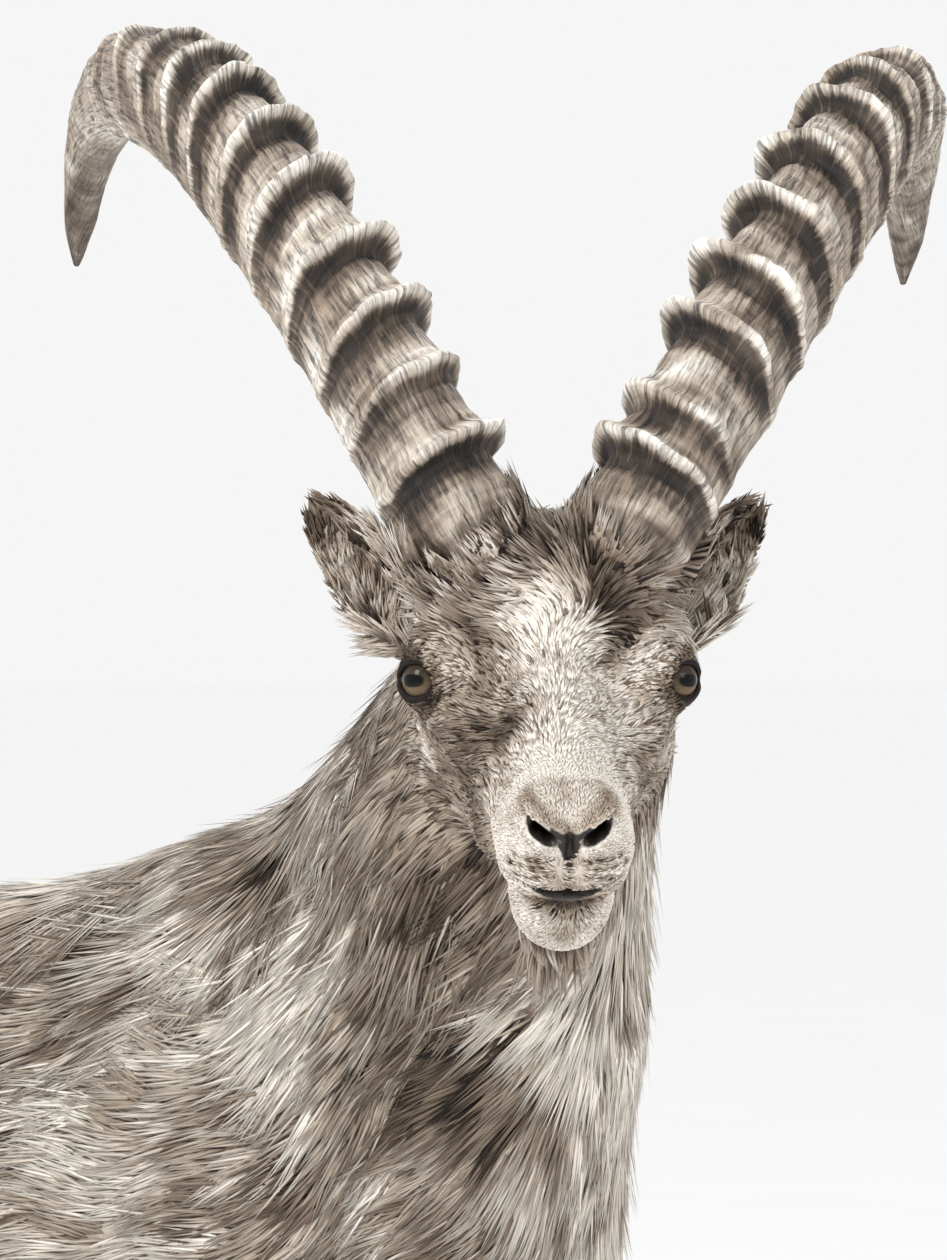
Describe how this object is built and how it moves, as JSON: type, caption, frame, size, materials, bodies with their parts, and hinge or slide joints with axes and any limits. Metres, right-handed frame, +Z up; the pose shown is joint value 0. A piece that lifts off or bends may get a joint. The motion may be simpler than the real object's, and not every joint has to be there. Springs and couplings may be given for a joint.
{
  "type": "alpine ibex model",
  "caption": "Still life-size model of a standing adult male alpine ibex with long ridged horns, its head turned to its right side.",
  "frame": {"origin": "middle of the model's footprint box, on the floor", "axes": "+X from rump to chest, +Y to the animal's left, +Z up"},
  "size_m": [1.3302, 0.8302, 1.4519],
  "materials": {
    "coat": "shaggy grey-brown hair",
    "face_coat": "short hair, pale on the nose and dark round the eyes",
    "ear_coat": "short hair with pale tufts inside",
    "dark_coat": "short dark brown hair",
    "horn": "matt, ridged and finely grooved horn",
    "hoof": "satin dark horn",
    "eye": "glossy amber iris with a level dark pupil"
  },
  "bodies": {
    "root": {"head": "face_coat", "neck": "coat", "torso": "coat", "tail": "dark_coat", "ear_left": "ear_coat", "ear_right": "ear_coat", "eye_left": "eye", "eye_right": "eye", "horn_left": "horn", "horn_right": "horn", "foreleg_left": "dark_coat", "foreleg_right": "dark_coat", "hindleg_left": "dark_coat", "hindleg_right": "dark_coat", "forehoof_left_inner": "hoof", "forehoof_left_outer": "hoof", "forehoof_right_inner": "hoof", "forehoof_right_outer": "hoof", "hindhoof_left_inner": "hoof", "hindhoof_left_outer": "hoof", "hindhoof_right_inner": "hoof", "hindhoof_right_outer": "hoof"}
  },
  "joints": []
}
